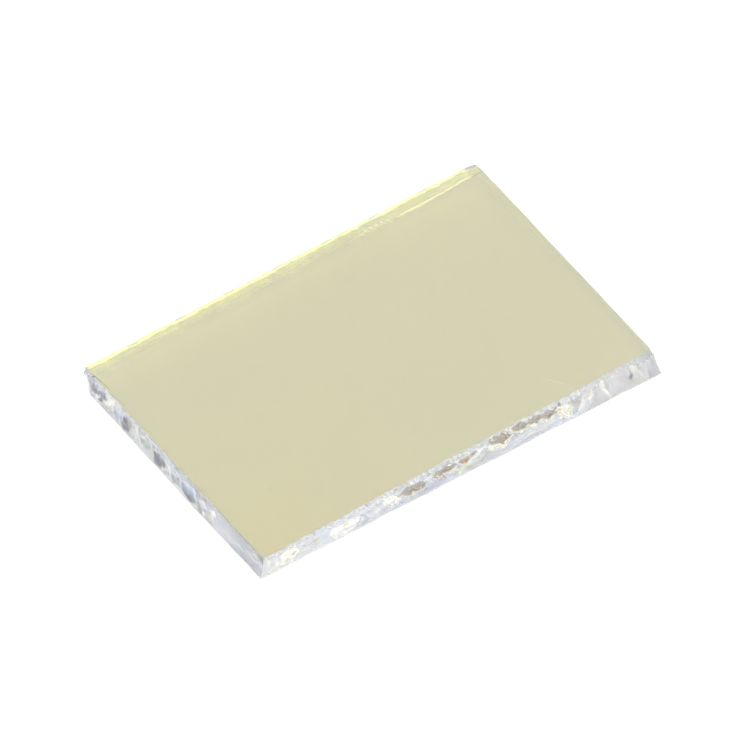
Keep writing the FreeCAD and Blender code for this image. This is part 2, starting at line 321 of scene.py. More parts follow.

# Painted glow under the film along the back rim: painted light and painted shade that stand in for the light
# which comes in through the break below it. Each look is (film tint, painted light of its own as a share of
# "light"). Widths and distances in from the rim are in millimetres and spans are shares of the side. What
# wanders along the side is (lowest, highest, turns, phase), and a wave is as in the table of waves.
paintedGlow = {
    "light": (0.30, 0.295, 0.07),
    "otherInset": 0.1,                 # share of the insets that the other three sides keep
    # insets of the rows of points that carry the glow
    "rings": (0.0, 0.07, 0.14, 0.21, 0.28, 0.35, 0.42, 0.50, 0.60, 0.72, 0.90, 1.10, 1.25, 1.35, 1.41, 1.46,
              1.51, 1.57, 1.64, 1.75, 2.02, 2.15, 2.28, 2.45),
    # painted bright line at the rim, as wide as its wander at the start of the side
    "line": (1.00, 1.00, 0.22, 1.0),
    "lineWidth": (0.30, 0.46, 1.3, 0.9),
    "lineWidens": 0.12,                # by the end of the side
    "lineFade": 0.09,
    "lineStrength": (0.75, 1.0, 2.3, 0.0),
    "lineStarts": (0.5, 1.6),          # millimetres along the side over which it comes on
    "lineStops": 0.3,                  # millimetres at the end over which it goes off
    # painted shade: thin grey stroke outside the line, in stretches where its wave is high
    "shadeStroke": (0.36, 0.36, 0.25, 0.0),
    "shadeStrokeAt": 0.05,
    "shadeStrokeShifts": 0.20,                # how much further in it runs past the span
    "shadeStrokeShiftSpan": (0.75, 0.9),
    "shadeStrokeWidth": 0.10,
    "shadeStrokeWave": ((1.0, 1.1, 1.0), (0.7, 3.3, 0.0)),
    "shadeStrokeFade": (0.2, 0.9),
    # softer band of painted light inside the line, streaked towards the end of the side
    "band": (0.92, 0.88, 0.08, 0.25),
    "bandWidth": (1.10, 1.80, 0.9, 0.4),
    "bandReach": 1.15,                 # full up to this less one, as a share of its width
    "bandStrength": (0.45, 1.0, 1.7, 2.0),
    "bandAtStart": 0.4,                # share of its strength there
    "bandGrowSpan": (0.25, 0.5),
    "streakDepth": 0.35,
    "streakTurns": 9.0,                # to the millimetre, across the band
    "streakWave": ((0.5, 0.7, 0.0),),
    "streakSpan": (0.50, 0.75),
    # painted bright line where the lower rim shows, and the painted lit floor of the break between it and the
    # rim
    "lowerLine": (1.00, 1.00, 0.28, 1.0),
    "lowerLineAt": 1.46,
    "lowerLineWave": ((0.02, 1.1, 0.0),),
    "lowerLineNears": 0.35,            # how far it comes towards the rim at the corner
    "lowerLineNearSpan": 0.12,
    "lowerLineWidth": 0.12,
    "lowerLineSwells": (0.8, 1.4, 1.1, 0.0),
    "lowerLineSpan": (0.015, 0.225),
    "lowerLineFade": 0.02,
    "floorStrength": 0.25,
    "floorPastLine": 0.05,
    "floorFade": 0.12,
    "floorPastSpan": 0.1,
    # painted sparkles past the end of that line, where the product of three waves of (turns along, turns in)
    # is high
    "sparkleSpan": (0.225, 0.33),
    "sparkleFades": (0.01, 0.03),
    "sparkleAt": 1.30,
    "sparkleWidth": 0.42,
    "grains": ((9.7, 6.0), (14.3, -9.0), (5.1, 21.0)),
    "grainFade": (0.15, 0.45),
    # painted shade: thin dark line inside the lower one, near the corner
    "shade": (0.40, 0.34, 0.10, 0.0),
    "shadeInside": 0.16,
    "shadeWidth": 0.12,
    "shadeEnd": 0.13,
    "shadeFade": 0.08,
    # faint line of painted light far inside the rim, at the end of the side
    "ghost": (0.68, 0.61, 0.17, 0.0),
    "ghostAt": 1.68,
    "ghostWidth": 0.14,
    "ghostSpan": (0.78, 0.88),
    # painted shade of a small dull facet at the corner
    "facet": (0.48, 0.45, 0.52, 0.05),
    "facetReach": (1.4, 0.36),         # along the side and in from it
    "facetFades": (0.3, 0.4),
}

# Slivers scattered in the crushed band, as (how many, share of the side that they cover, lowest, highest,
# longest half height, deepest, tilt).
slivers = {
    "front": (250, 0.83, 2.20, 3.0, 0.42, 0.030, -24),
    "left": (90, 0.76, 2.45, 3.0, 0.40, 0.030, 22),
    "back": (50, 1.0, 2.5, 3.0, 0.40, 0.030, 0),
    "right": (6, 1.0, 2.8, 3.0, 0.20, 0.020, 0),
}

# How far the marks of the hackle lean, as the run that they cover for each millimetre down, at start and end.
lean = {
    "front": (1.05, 0.15),
    "right": (-0.30, -0.30),
    "back": (0.40, 0.40),
    "left": (-0.50, -0.35),
}

# Waves, each a list of (reach, turns along the side, turns up it or phase).
waver = {
    "wall": ((1.0, 1.0, 1.0), (0.5, 2.3, -1.0)),
    "shellAlong": ((0.14, 2.7, 4.1), (0.06, 9.0, -7.0)),
    "shellUp": ((0.10, 3.9, -2.2),),
    "rim": ((0.50, 1.9, 0.0), (0.35, 5.3, 1.0), (0.20, 13.7, 2.0)),
    "frost": ((0.30, 1.3, 0.0), (0.22, 3.1, 1.0), (0.12, 8.3, 0.0)),
    "wander": ((0.3, 1.0, 0.0), (0.2, 2.7, 1.3)),
}

# Where tints and frosting come on, as (none, full). Those of a shell are limits of how far inside its outline
# a point lies, and that of the rim is a share of its width. Those of the frosting and the satin ends are
# millimetres or shares of a side.
fades = {
    "shell": (0.0, 0.35),
    "lipOutside": (0.0, 0.08),
    "lipInside": (-0.34, -0.12),
    "lipBelow": (0.0, 0.35),
    "rim": (0.0, 0.3),
    "frostAbove": (0.0, 0.12),
    "frostBelow": (0.0, 0.06),
    "frostEnd": (0.0, 0.02),
    "satin": (0.0, 0.03),
}

# Form of a sliver: ranges as shares of the values in the table of slivers, and how often each tint comes.
sliverForm = {
    "height": (0.35, 1.0),
    "slimness": (0.14, 0.45),
    "depth": (0.3, 1.0),
    "turn": 16,
    "softness": 0.6,
    # the tints of the slivers are painted highlights and painted shade
    "paintedTints": ["white", "pale", "clear", "grey", "slate"],
    "odds": [0.42, 0.24, 0.13, 0.16, 0.05],
}


def waves(table, run, height=1.0):
    # sum of reach * sin(along * run + up * height); without a height, up is a phase
    return sum(reach * np.sin(along * run + up * height) for reach, along, up in table)


def wander(low, high, turns, phase, run):
    # a slow wander between low and high along a side: low + (high - low) * (1/2 + two waves of unlike length)
    return low + (high - low) * (0.5 + waves(waver["wander"], turns * run + phase))


def shellShape(run, height, shell, length):
    # how far inside a shell a point lies: 1 - (x/a)^2 - (z/b)^2 in its own turned axes, and how high it lies
    share, up, halfLong, halfHigh, depth, tilt = shell[:6]
    x = run - share * length + waves(waver["shellAlong"], run, height)
    z = height - up * plate["thickness"] + waves(waver["shellUp"], run, height)
    c = math.cos(math.radians(tilt))
    s = math.sin(math.radians(tilt))
    alongShell = (x * c - z * s) / halfLong
    acrossShell = (x * s + z * c) / halfHigh
    return 1 - alongShell ** 2 - acrossShell ** 2, z / halfHigh


def scatter(side, rng):
    # slivers as rows of the same form as the glints
    count, covers, low, high, longest, deepest, tilt = slivers[side["name"]]
    found = []
    for i in range(count):
        halfHigh = longest * rng.uniform(*sliverForm["height"])
        halfLong = halfHigh * rng.uniform(*sliverForm["slimness"])
        up = rng.uniform(low, high) / plate["thickness"]
        tint = rng.choice(sliverForm["paintedTints"], p=sliverForm["odds"])
        if side["tint"] == "pane":
            tint = "pane"
        share = rng.uniform(0.0, covers)
        depth = deepest * rng.uniform(*sliverForm["depth"])
        turned = tilt + rng.uniform(-sliverForm["turn"], sliverForm["turn"])
        found.append((share, up, halfLong, halfHigh, depth, turned, tint, sliverForm["softness"]))
    return found


def smoothShare(value, low, high):
    # smoothstep from 0 at low to 1 at high
    t = np.clip((value - low) / (high - low), 0, 1)
    return t * t * (3 - 2 * t)


def cornerWear(chip, away, height):
    # what a knocked-off corner takes: depth * (1 - away / reach)^2 * (1 - (rise / half height)^2)
    share, halfHigh, depth = chip
    reach = plate["chipReach"] + depth
    rise = (height - share * plate["thickness"]) / halfHigh
    return depth * np.clip(1 - away / reach, 0, 1) ** 2 * np.clip(1 - rise ** 2, 0, 1)


def wallShape(side, run, height):
    # how far the broken wall stands outside the nominal side, lean + waviness + belly - crushed band - shells
    # - corner wear - rim, and the painted light and shade and the frosting of the glass there
    length = side["length"]
    run = np.clip(run, 0, length)
    alongShare = run / length
    up = height / plate["thickness"]
    topStart, topEnd, bottomStart, bottomEnd = side["stand"]
    top = topStart + (topEnd - topStart) * alongShare
    bottom = bottomStart + (bottomEnd - bottomStart) * alongShare
    tall, long, phase = side["wave"]
    turn = 2 * math.pi * run / long + phase
    ripple = tall * waves(waver["wall"], turn, up)
    out = bottom + (top - bottom) * up + ripple + side["belly"] * 4 * up * (1 - up)
    if side["scribed"]:
        aboveFoot = height - (plate["thickness"] - plate["crushHeight"])
        out = out - plate["crushDepth"] * np.clip(aboveFoot / plate["crushHeight"], 0, None)
    deepest = np.zeros_like(out)
    tint = np.broadcast_to(np.array(paintedTints[side["tint"]]), out.shape + (3,)).copy()
    for shell in shells[side["name"]]:
        inside, level = shellShape(run, height, shell, length)
        depth = shell[4] * np.clip(inside, 0, None)
        wins = depth > deepest
        deepest = np.where(wins, depth, deepest)
        # painted shade or painted highlight over the hollow of the shell
        body = np.where(wins, smoothShare(inside, *fades["shell"]), 0)[..., None]
        tint = tint * (1 - body) + np.array(paintedTints[shell[6]]) * body
        # painted highlight along the lower lip of the shell
        lip = smoothShare(inside, *fades["lipOutside"]) * smoothShare(-inside, *fades["lipInside"])
        lip = (np.where(wins, lip, 0) * smoothShare(-level, *fades["lipBelow"]))[..., None]
        tint = tint * (1 - lip) + np.array(paintedTints[shell[7]]) * lip
    for glint in side["chips"] + paintedGlints[side["name"]]:
        inside, level = shellShape(run, height, glint, length)
        deepest = deepest + glint[4] * np.clip(inside, 0, None)
        # painted highlight, painted shade or painted split colour of each glint and sliver
        body = smoothShare(inside, 0.0, glint[7])[..., None]
        tint = tint * (1 - body) + np.array(paintedTints[glint[6]]) * body
    wear = cornerWear(cornerChips[side["name"]], run, height)
    wear = wear + cornerWear(cornerChips[side["next"]], length - run, height)
    width, paintedRimHighlight, strength = rims[side["name"]]
    ragged = np.clip(width * (1 + waves(waver["rim"], run)), plate["leastRim"], None)
    rim = np.clip(height - plate["thickness"] + ragged, 0, None)
    # painted highlight along the crumbled rim
    share = (strength * smoothShare(rim / ragged, *fades["rim"]))[..., None]
    tint = tint * (1 - share) + np.array(paintedTints[paintedRimHighlight]) * share
    frosted = frostShare(side, run, height)
    return out - deepest - wear - rim, tint, frosted


def frostShare(side, run, height):
    # 1 in the crushed bands at the rims, whose edges waver along the side, less on the satin ends, and 0 on
    # the clean break
    above, below, covers = frost[side["name"]]
    sideShare = run / side["length"]
    wavers = 1 + waves(waver["frost"], run)
    frosted = smoothShare(height - plate["thickness"] + above * wavers, *fades["frostAbove"])
    foot = smoothShare(below * wavers - height, *fades["frostBelow"])
    frosted = np.maximum(frosted, foot * smoothShare(covers - sideShare, *fades["frostEnd"]))
    if side["name"] in satin:
        start, dulled = satin[side["name"]]
        frosted = np.maximum(frosted, dulled * smoothShare(sideShare - start, *fades["satin"]))
    return frosted


def wallOffset(side, run, height):
    return wallShape(side, run, height)[0]


def sideWall(previous, side, following, heights):
    # the wall of one side on a grid of (height, share along it); its last column is the next side's first
    along = np.array(side["along"], float)
    outward = np.array([along[1], -along[0]])
    h = heights[:, None]
    shares = np.arange(side["columns"]) / side["columns"]
    runStart = -wallOffset(previous, np.full_like(h, previous["length"]), h)
    runEnd = side["length"] + wallOffset(following, np.zeros_like(h), h)
    run = runStart + (runEnd - runStart) * shares[None, :]
    out, tint, frosted = wallShape(side, run, h + 0 * run)
    leanStart, leanEnd = lean[side["name"]]
    place = np.stack([run + (leanStart + (leanEnd - leanStart) * run / side["length"]) * h, h + 0 * run,
                      side["hackleAt"] + 0 * run], axis=-1)
    x = side["start"][0] + along[0] * run + outward[0] * out
    y = side["start"][1] + along[1] * run + outward[1] * out
    z = h + 0 * run
    return np.stack([x, y, z], axis=-1), np.concatenate([tint, frosted[..., None]], axis=-1), place


def filmTint(x, y):
    # tint of the film, which turns warmer towards one corner: the plain tint mixed with the warm one by
    # 1 - distance / reach
    cornerX, cornerY = coating["warmCorner"]
    warm = np.clip(1 - np.hypot(x - cornerX, y - cornerY) / coating["warmReach"], 0, 1)[..., None]
    tint = np.array(coating["tint"]) * (1 - warm) + np.array(coating["warmTint"]) * warm
    return np.concatenate([tint, np.zeros_like(warm)], axis=-1)


def nearLine(inward, at, width):
    # 1 on a line at a distance in from the rim, 0 at its width from it
    return np.clip(1 - np.abs(inward - at) / width, 0, 1)


def rimLineMasks(side, run, inward):
    # the line of painted light is full up to its width and then falls off, the painted shade stroke is
    # stretches
    # * fall-off from its own line, and both go off at the ends of the side
    share = run / side["length"]
    ends = smoothShare(run, *paintedGlow["lineStarts"]) * smoothShare(side["length"] - run, 0.0, paintedGlow["lineStops"])
    width = wander(*paintedGlow["lineWidth"], run) + paintedGlow["lineWidens"] * share
    line = smoothShare(width - inward, 0.0, paintedGlow["lineFade"]) * wander(*paintedGlow["lineStrength"], run) * ends
    shadeStrokeAt = paintedGlow["shadeStrokeAt"] + paintedGlow["shadeStrokeShifts"] * smoothShare(share, *paintedGlow["shadeStrokeShiftSpan"])
    stretches = smoothShare(waves(paintedGlow["shadeStrokeWave"], run), *paintedGlow["shadeStrokeFade"])
    return line, stretches * nearLine(inward, shadeStrokeAt, paintedGlow["shadeStrokeWidth"]) * ends


def bandMask(side, run, inward):
    # strength * fall-off inwards * streaks * growth along the side
    share = run / side["length"]
    falls = np.clip(paintedGlow["bandReach"] - inward / wander(*paintedGlow["bandWidth"], run), 0, 1)
    streaks = np.sin(paintedGlow["streakTurns"] * inward + waves(paintedGlow["streakWave"], run))
    streaks = 1 + paintedGlow["streakDepth"] * streaks * smoothShare(share, *paintedGlow["streakSpan"])
    grown = paintedGlow["bandAtStart"] + (1 - paintedGlow["bandAtStart"]) * smoothShare(share, *paintedGlow["bandGrowSpan"])
    return np.clip(wander(*paintedGlow["bandStrength"], run) * falls * streaks * grown, 0, 1)


def lowerLineMasks(side, run, inward):
    # the line is span * fall-off from where it lies, the lit floor is what lies between it and the rim, and
    # the shade is the same as the line a little further in
    share = run / side["length"]
    start, end = paintedGlow["lowerLineSpan"]
    fade = paintedGlow["lowerLineFade"]
    at = paintedGlow["lowerLineAt"] + waves(paintedGlow["lowerLineWave"], run)
    at = at - paintedGlow["lowerLineNears"] * np.clip(1 - share / paintedGlow["lowerLineNearSpan"], 0, 1)
    width = paintedGlow["lowerLineWidth"] * wander(*paintedGlow["lowerLineSwells"], run)
    span = smoothShare(share, start, start + fade) * smoothShare(end - share, 0.0, fade)
    line = span * nearLine(inward, at, width)
    lit = paintedGlow["floorStrength"] * smoothShare(at + paintedGlow["floorPastLine"] - inward, 0.0, paintedGlow["floorFade"])
    lit = lit * smoothShare(end + paintedGlow["floorPastSpan"] - share, 0.0, paintedGlow["floorPastSpan"])
    shade = smoothShare(paintedGlow["shadeEnd"] - share, 0.0, paintedGlow["shadeFade"])
    shade = shade * nearLine(inward, at + paintedGlow["shadeInside"], paintedGlow["shadeWidth"])
    return line, lit, shade


def sparkleMask(side, run, inward):
    # span * where the product of three waves is high * fall-off from a line
    share = run / side["length"]
    start, end = paintedGlow["sparkleSpan"]
    fadeIn, fadeOut = paintedGlow["sparkleFades"]
    span = smoothShare(share, start, start + fadeIn) * smoothShare(end - share, 0.0, fadeOut)
    grains = math.prod(np.sin(along * run + across * inward) for along, across in paintedGlow["grains"])
    near = nearLine(inward, paintedGlow["sparkleAt"], paintedGlow["sparkleWidth"])
    return span * smoothShare(grains, *paintedGlow["grainFade"]) * near


def paintedRimGlow(side, run, inward, plain):
    # tint of the film and its painted light share at a run along a side and a distance in from its rim, with
    # the painted light and shade along the back rim: each look is laid over the ones before it by its mask
    if side["name"] != "back":
        return plain
    line, shadeStroke = rimLineMasks(side, run, inward)
    lowerLine, lit, shade = lowerLineMasks(side, run, inward)
    ghost = smoothShare(run / side["length"], *paintedGlow["ghostSpan"])
    ghost = ghost * nearLine(inward, paintedGlow["ghostAt"], paintedGlow["ghostWidth"])
    facetLong, facetDeep = paintedGlow["facetReach"]
    fadeLong, fadeDeep = paintedGlow["facetFades"]
    facet = smoothShare(1 - run / facetLong, 0.0, fadeLong)
    facet = facet * smoothShare(1 - inward / facetDeep, 0.0, fadeDeep)
    layers = [
        ("band", bandMask(side, run, inward)),
        ("band", lit),
        ("shade", shade),
        ("lowerLine", lowerLine),
        ("lowerLine", sparkleMask(side, run, inward)),
        ("ghost", ghost),
        ("line", line),
        ("shadeStroke", shadeStroke),
        ("facet", facet),
    ]
    looks = plain
    for name, mask in layers:
        looks = looks * (1 - mask[..., None]) + np.array(paintedGlow[name]) * mask[..., None]
    return looks


def insetRow(i, inset, shares):
    # a row of points on the upper face, at shares of side i and inside its rim, with the colour of the film
    # and its painted glow there; the sides without painted glow keep only a part of the inset, so that the
    # glow runs out to their rims
    side = sides[i]
    before, own, after = (inset * (1 if sides[j % 4]["name"] == "back" else paintedGlow["otherInset"])
                          for j in (i - 1, i, i + 1))
    top = plate["thickness"]
    along = np.array(side["along"], float)
    outward = np.array([along[1], -along[0]])
    start = -wallOffset(sides[i - 1], np.array(sides[i - 1]["length"]), np.array(top))
    end = side["length"] + wallOffset(sides[(i + 1) % 4], np.array(0.0), np.array(top))
    out = wallOffset(side, start + (end - start) * shares, np.full_like(shares, top)) - own
    run = start + before + (end - start - before - after) * shares
    place = np.array(side["start"]) + run[:, None] * along + out[:, None] * outward
    points = np.concatenate([place, np.full((len(run), 1), top)], axis=1)
    return points, paintedRimGlow(side, run, np.full_like(run, inset), filmTint(place[:, 0], place[:, 1]))


def ringFaces(rows, columns):
    # quads between neighbouring rows of a closed wall, facing outwards
    row = np.arange(rows - 1)[:, None]
    column = np.arange(columns)[None, :]
    following = (column + 1) % columns
    quads = np.stack([row * columns + column, row * columns + following,
                      (row + 1) * columns + following, (row + 1) * columns + column], axis=-1)
    return quads.reshape(-1, 4)


def buildPlate():
    rng = np.random.default_rng(plate["seed"])
    for i, side in enumerate(sides):
        side["chips"] = scatter(side, rng)
        side["next"] = sides[(i + 1) % 4]["name"]
        side["hackleAt"] = plate["hackleApart"] * i
    foot = plate["thickness"] - plate["crushHeight"]
    below = np.linspace(0, foot, plate["rowsBelow"])
    band = np.linspace(foot, plate["thickness"], plate["rowsInBand"])[1:]
    heights = np.concatenate([below, band])
    walls = [sideWall(sides[i - 1], side, sides[(i + 1) % 4], heights) for i, side in enumerate(sides)]
    wall, wallTint, wallPlace = (np.concatenate(layer, axis=1) for layer in zip(*walls))
    rows, columns = wall.shape[:2]
    quads = ringFaces(rows, columns)
    column = np.arange(columns)
    following = (column + 1) % columns
    top = (rows - 1) * columns + column

    # the upper face: a fine strip along the back rim, plain strips along the other rims, a fan inside them
    counts = [side["columns"] for side in sides]
    backStart, leftStart = sum(counts[:2]), sum(counts[:3])
    shares = np.arange(counts[2] + 1) / counts[2]
    backRows = [insetRow(2, inset, shares) for inset in paintedGlow["rings"]]
    innerRows = [insetRow(i, paintedGlow["rings"][-1], np.arange(count) / count) for i, count in enumerate(counts)]
    between = np.stack([row for row, paint in backRows[1:-1]])
    inner = np.concatenate([row for row, paint in innerRows])
    centres = np.array([[0, 0, 0], [0, 0, plate["thickness"]]], float)
    points = np.concatenate([wall.reshape(-1, 3), between.reshape(-1, 3), inner, centres]) * mm
    betweenIndex = rows * columns + np.arange(between.shape[0] * between.shape[1]).reshape(between.shape[:2])
    innerIndex = rows * columns + betweenIndex.size + column
    backColumns = backStart + np.arange(counts[2] + 1)
    strip = np.concatenate([top[backColumns][None], betweenIndex, innerIndex[backColumns][None]])
    stripFaces = np.stack([strip[:-1, :-1], strip[:-1, 1:], strip[1:, 1:], strip[1:, :-1]], axis=-1)
    stripFaces = stripFaces.reshape(-1, 4)
    plain = np.concatenate([np.arange(backStart - 1), np.arange(leftStart + 1, columns)])
    afterPlain = following[plain]
    plainFaces = np.stack([top[plain], top[afterPlain], innerIndex[afterPlain], innerIndex[plain]], axis=-1)
    beforeBack = np.concatenate([top[[backStart - 1, backStart]], betweenIndex[:, 0],
                                 innerIndex[[backStart, backStart - 1]]])
    afterBack = np.concatenate([top[[leftStart, leftStart + 1]], innerIndex[[leftStart + 1, leftStart]],
                                betweenIndex[::-1, -1]])
    lowerCentre = len(points) - 2
    lower = np.stack([following, column, np.full(columns, lowerCentre)], axis=-1)
    upper = np.stack([innerIndex, innerIndex[following], np.full(columns, lowerCentre + 1)], axis=-1)

    # faces as (corner lists, corners to a face, material slot)
    layers = [(quads, 4, 1), (stripFaces, 4, 0), (plainFaces, 4, 0), (beforeBack[None], len(beforeBack), 0),
              (afterBack[None], len(afterBack), 0), (lower, 3, 2), (upper, 3, 0)]
    mesh = bpy.data.meshes.new("beamsplitterPlate")
    loops = np.concatenate([faces.ravel() for faces, corners, slot in layers]).astype(np.int32)
    sizes = np.concatenate([np.full(len(faces), corners) for faces, corners, slot in layers])
    slots = np.concatenate([np.full(len(faces), slot) for faces, corners, slot in layers])
    mesh.vertices.add(len(points))
    mesh.vertices.foreach_set("co", points.astype(np.float32).ravel())
    mesh.loops.add(len(loops))
    mesh.loops.foreach_set("vertex_index", loops)
    mesh.polygons.add(len(sizes))
    mesh.polygons.foreach_set("loop_start", np.concatenate([[0], np.cumsum(sizes)[:-1]]).astype(np.int32))
    mesh.polygons.foreach_set("material_index", slots.astype(np.int32))
    mesh.polygons.foreach_set("use_smooth", slots == 1)
    # painted light and shade of the break, with the share of frosting as alpha
    edgePaintedLightAndFrost = mesh.attributes.new("edgePaintedLightAndFrost", "FLOAT_COLOR", "POINT")
    colours = np.ones((len(points), 4), np.float32)
    colours[:rows * columns] = wallTint.reshape(-1, 4)
    colours[:, :3] **= 2    # glass lets through the root of its colour
    edgePaintedLightAndFrost.data.foreach_set("color", colours.ravel())
    # colour of the film, with the painted light and shade of the glow along the back rim
    filmColourAndPaintedGlow = mesh.attributes.new("filmColourAndPaintedGlow", "FLOAT_COLOR", "POINT")
    colours = filmTint(points[:, 0] / mm, points[:, 1] / mm).astype(np.float32)
    colours[strip.ravel()] = np.concatenate([paint for row, paint in backRows])
    filmColourAndPaintedGlow.data.foreach_set("color", colours.ravel())
    edgePlace = mesh.attributes.new("edgePlace", "FLOAT_VECTOR", "POINT")
    places = np.zeros((len(points), 3), np.float32)
    places[:rows * columns] = wallPlace.reshape(-1, 3)
    edgePlace.data.foreach_set("vector", places.ravel())
    mesh.update(calc_edges=True)
    mesh.validate()
    plateObject = bpy.data.objects.new("beamsplitterPlate", mesh)
    bpy.context.scene.collection.objects.link(plateObject)
    print("plate built:", len(mesh.polygons), "faces")
    return plateObject


# Materials

glass = {
    "ior": 1.52,
    "absorbs": (0.0, 0.05, 0.35),      # what each channel lets through of a full density
    "density": 0.8,
    "dustRoughness": 0.5,
    "cloudDetail": 2.0,
}

polished = {
    "tint": (1.0, 1.0, 1.0),
    "marks": {"Cloud Scale": 50.0, "Cloud Depth": 0.02, "Speck Scale": 320.0, "Speck Size": 0.04,
              "Speck Share": 0.04, "Speck Depth": 0.20},
}

broken = {
    "tint": (1.0, 1.0, 1.0),
    "roughness": (0.07, 0.17),
    "frostRoughness": 0.32,
    "coat": 0.4,
    # lines to the millimetre, along the side and up it, and the shades of the darkest and brightest line
    "hackle": {"Fineness Along": 6.0, "Fineness Up": 0.45, "Darkest": 0.80, "Brightest": 1.16},
    "hackleDetail": 3.0,
    "hackleLimits": (0.36, 0.64),      # noise that makes the darkest and the brightest line
    "hackleHeight": 0.003,             # millimetres
    "hackleStrength": 0.3,
}


def feed(tree, node, inputs):
    # set inputs of a node, by name or number, to plain values or to other nodes' outputs
    for name, value in inputs.items():
        if isinstance(value, bpy.types.NodeSocket):
            tree.links.new(value, node.inputs[name])
        else:
            node.inputs[name].default_value = value
    return node


def addNode(tree, kind, inputs, **settings):
    # the settings come before the inputs, because they decide which inputs a node has
    node = tree.nodes.new(kind)
    for name, value in settings.items():
        setattr(node, name, value)
    return feed(tree, node, inputs)


def calculate(tree, operation, *values):
    # result of a Math node on plain values or other nodes' outputs
    return addNode(tree, "ShaderNodeMath", dict(enumerate(values)), operation=operation).outputs[0]


def newGroup(name, inputs, outputs):
    group = bpy.data.node_groups.new(name, "ShaderNodeTree")
    for label in inputs:
        group.interface.new_socket(label, in_out="INPUT", socket_type="NodeSocketFloat")
    for label in outputs:
        group.interface.new_socket(label, in_out="OUTPUT", socket_type="NodeSocketFloat")
    return group, group.nodes.new("NodeGroupInput").outputs


def placeGroup(tree, group, values):
    node = tree.nodes.new("ShaderNodeGroup")
    node.node_tree = group
    return feed(tree, node, values).outputs


def newGlass(name, colour, roughness):
    # glass that takes up a little light on its way, the least of it in the blue
    material = bpy.data.materials.new(name)
    material.use_nodes = True
    tree = material.node_tree
    shader = tree.nodes["Principled BSDF"]
    feed(tree, shader, {"Base Color": (*colour, 1), "Roughness": roughness, "IOR": glass["ior"],
                        "Transmission Weight": 1.0})
    absorption = addNode(tree, "ShaderNodeVolumeAbsorption",
                         {"Color": (*glass["absorbs"], 1), "Density": glass["density"]})
    feed(tree, tree.nodes["Material Output"], {"Volume": absorption.outputs[0]})
    return material, tree, shader


def hackleGroup():
    # fine leaning lines of the fracture: noise drawn out along the lean, as a shade and a height
    group, entry = newGroup("hackleLines", broken["hackle"], ("Shade", "Height"))
    place = addNode(group, "ShaderNodeAttribute", {}, attribute_name="edgePlace")
    fineness = addNode(group, "ShaderNodeCombineXYZ",
                       {"X": entry["Fineness Along"], "Y": entry["Fineness Up"], "Z": 1.0})
    drawn = addNode(group, "ShaderNodeVectorMath", {0: place.outputs["Vector"], 1: fineness.outputs[0]},
                    operation="MULTIPLY")
    lines = addNode(group, "ShaderNodeTexNoise",
                    {"Vector": drawn.outputs["Vector"], "Scale": 1.0, "Detail": broken["hackleDetail"]})
    darkestAt, brightestAt = broken["hackleLimits"]
    shade = addNode(group, "ShaderNodeMapRange",
                    {"Value": lines.outputs["Fac"], "From Min": darkestAt, "From Max": brightestAt,
                     "To Min": entry["Darkest"], "To Max": entry["Brightest"]})
    addNode(group, "NodeGroupOutput", {"Shade": shade.outputs["Result"], "Height": lines.outputs["Fac"]})
    return group


def marksGroup():
    # shade of a surface, 1 - clouds - specks, and where its dust lies: specks in some Voronoi cells
    group, entry = newGroup("surfaceMarks", coating["marks"], ("Shade", "Dust"))
    place = group.nodes.new("ShaderNodeTexCoord").outputs["Object"]
    cloud = addNode(group, "ShaderNodeTexNoise",
                    {"Vector": place, "Scale": entry["Cloud Scale"], "Detail": glass["cloudDetail"]})
    clouded = calculate(group, "MULTIPLY", cloud.outputs["Fac"], entry["Cloud Depth"])
    cells = addNode(group, "ShaderNodeTexVoronoi", {"Vector": place, "Scale": entry["Speck Scale"]})
    draw = addNode(group, "ShaderNodeSeparateColor", {"Color": cells.outputs["Color"]})
    chosen = calculate(group, "LESS_THAN", draw.outputs["Red"], entry["Speck Share"])
    near = addNode(group, "ShaderNodeMapRange",
                   {"Value": cells.outputs["Distance"], "From Max": entry["Speck Size"], "To Min": 1.0,
                    "To Max": 0.0}, interpolation_type="SMOOTHSTEP")
    speck = calculate(group, "MULTIPLY", chosen, near.outputs["Result"])
    specked = calculate(group, "MULTIPLY", speck, entry["Speck Depth"])
    shade = calculate(group, "SUBTRACT", calculate(group, "SUBTRACT", 1.0, clouded), specked)
    addNode(group, "NodeGroupOutput", {"Shade": shade, "Dust": speck})
    return group


def addMarks(tree, shader, colour, values):
    # the marks shade the colour, and their specks roughen the surface
    marks = placeGroup(tree, bpy.data.node_groups.get("surfaceMarks") or marksGroup(), values)
    shaded = addNode(tree, "ShaderNodeMix", {"Factor": 1.0, "A": colour, "B": marks["Shade"]},
                     data_type="RGBA", blend_type="MULTIPLY")
    rough = addNode(tree, "ShaderNodeMapRange", {"Value": marks["Dust"], "To Max": glass["dustRoughness"]})
    feed(tree, shader, {"Base Color": shaded.outputs["Result"], "Roughness": rough.outputs["Result"]})


